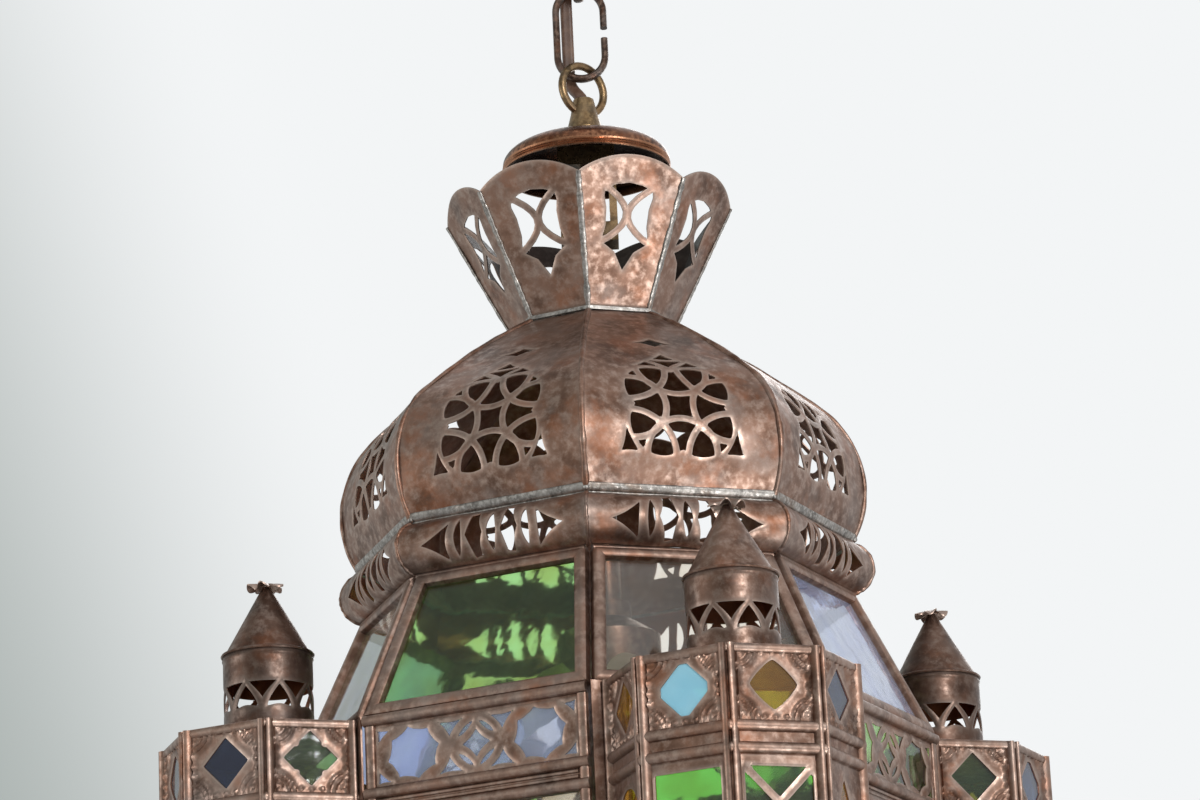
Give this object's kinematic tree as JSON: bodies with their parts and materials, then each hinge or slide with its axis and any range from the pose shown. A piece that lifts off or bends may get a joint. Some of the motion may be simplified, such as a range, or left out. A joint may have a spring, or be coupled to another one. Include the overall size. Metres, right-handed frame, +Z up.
{
  "type": "ramadan fanous lantern",
  "caption": "Hanging eight-sided lantern of pierced copper sheet and coloured panes, with corner turrets, onion dome, flared crown, hinged lamp door, link chain and ceiling canopy.",
  "frame": {"origin": "on the ceiling, midway between the crossbar's two screw holes, at the crossbar's top face", "axes": "+Z up along the plumb line, -Y through the front pane wall, +Y through the wall with the lamp door, +X to the right seen from the front; the lantern hangs below the origin"},
  "size_m": [0.3094, 0.3094, 0.8173],
  "materials": {
    "aged_copper": "aged, brown",
    "polished_copper": "polished",
    "brass_fitting": "dull",
    "chain_steel": "copper-brown",
    "solder": "dull",
    "cord_jacket": "satin",
    "socket_body": "satin",
    "bulb_glass": "frosted",
    "clear_pane": "ribbed",
    "green_pane": "ribbed",
    "blue_pane": "ribbed",
    "lavender_pane": "ribbed",
    "cyan_pane": "ribbed",
    "amber_pane": "ribbed"
  },
  "bodies": {
    "canopy": {"ceiling_crossbar": "brass_fitting", "ceiling_canopy": "aged_copper", "canopy_nipple": "brass_fitting", "canopy_nut": "brass_fitting", "canopy_loop": "brass_fitting"},
    "link_3": {"chain_link_3": "chain_steel"},
    "link_2": {"chain_link_2": "chain_steel"},
    "link_1": {"chain_link_1": "chain_steel"},
    "lantern": {"lamp_cord": "cord_jacket", "top_loop": "brass_fitting", "vase_cap": "polished_copper", "top_nipple": "brass_fitting", "hickey": "brass_fitting", "stem_pipe": "brass_fitting", "stem_tube": "aged_copper", "stem_nuts": "brass_fitting", "stem_neck": "aged_copper", "cluster_cup": "aged_copper", "cluster_cover": "aged_copper", "lamp_socket_1": "socket_body", "lamp_socket_2": "socket_body", "lamp_socket_3": "socket_body", "lamp_socket_4": "socket_body", "bulb_1": "bulb_glass", "bulb_2": "bulb_glass", "bulb_3": "bulb_glass", "bulb_4": "bulb_glass", "neck_plate": "solder", "crown_panels": "aged_copper", "dome_panels": "aged_copper", "dome_solder": "solder", "roll_panels": "aged_copper", "shoulder_frames": "aged_copper", "turret_frame_1": "aged_copper", "turret_frame_2": "aged_copper", "turret_frame_3": "aged_copper", "turret_frame_4": "aged_copper", "turret_caps": "aged_copper", "turret_cones": "aged_copper", "turret_flowers": "aged_copper", "turret_drops": "aged_copper", "wall_front": "aged_copper", "wall_right": "aged_copper", "wall_left": "aged_copper", "door_jamb": "aged_copper", "door_hinge_pins": "brass_fitting", "panes_clear": "clear_pane", "panes_green": "green_pane", "panes_blue": "blue_pane", "panes_lavender": "lavender_pane", "panes_cyan": "cyan_pane", "panes_amber": "amber_pane", "foot_frames": "aged_copper", "foot_ring": "aged_copper", "foot_bowl": "aged_copper", "foot_finial": "aged_copper"},
    "door": {"door_frame": "aged_copper", "door_knob": "brass_fitting", "door_pane": "green_pane"},
    "door_button": {"door_button": "brass_fitting"}
  },
  "joints": [
    {"name": "link_3_swing", "type": "hinge", "parent": "canopy", "child": "link_3", "pos_m": [0, 0, -0.05885], "axis": [-0.4384, 0.8988, 0], "range_deg": [-15, 15], "deforming": ["lamp_cord"]},
    {"name": "link_2_swing", "type": "hinge", "parent": "link_3", "child": "link_2", "pos_m": [0, 0, -0.0988], "axis": [0.8988, 0.4384, 0], "range_deg": [-15, 15], "deforming": ["lamp_cord"]},
    {"name": "link_1_swing", "type": "hinge", "parent": "link_2", "child": "link_1", "pos_m": [0, 0, -0.139], "axis": [-0.4384, 0.8988, 0], "range_deg": [-15, 15], "deforming": ["lamp_cord"]},
    {"name": "lantern_swing", "type": "hinge", "parent": "link_1", "child": "lantern", "pos_m": [0, 0, -0.1772], "axis": [0.8988, 0.4384, 0], "range_deg": [-15, 15], "deforming": ["lamp_cord"]},
    {"name": "door_hinge", "type": "hinge", "parent": "lantern", "child": "door", "pos_m": [0.04636, 0.13307, -0.5914], "axis": [0, 0, -1], "range_deg": [0, 110]},
    {"name": "button_turn", "type": "hinge", "parent": "lantern", "child": "door_button", "pos_m": [-0.04941, 0.1311, -0.59135], "axis": [0, 1, 0], "range_deg": [0, 90]}
  ]
}
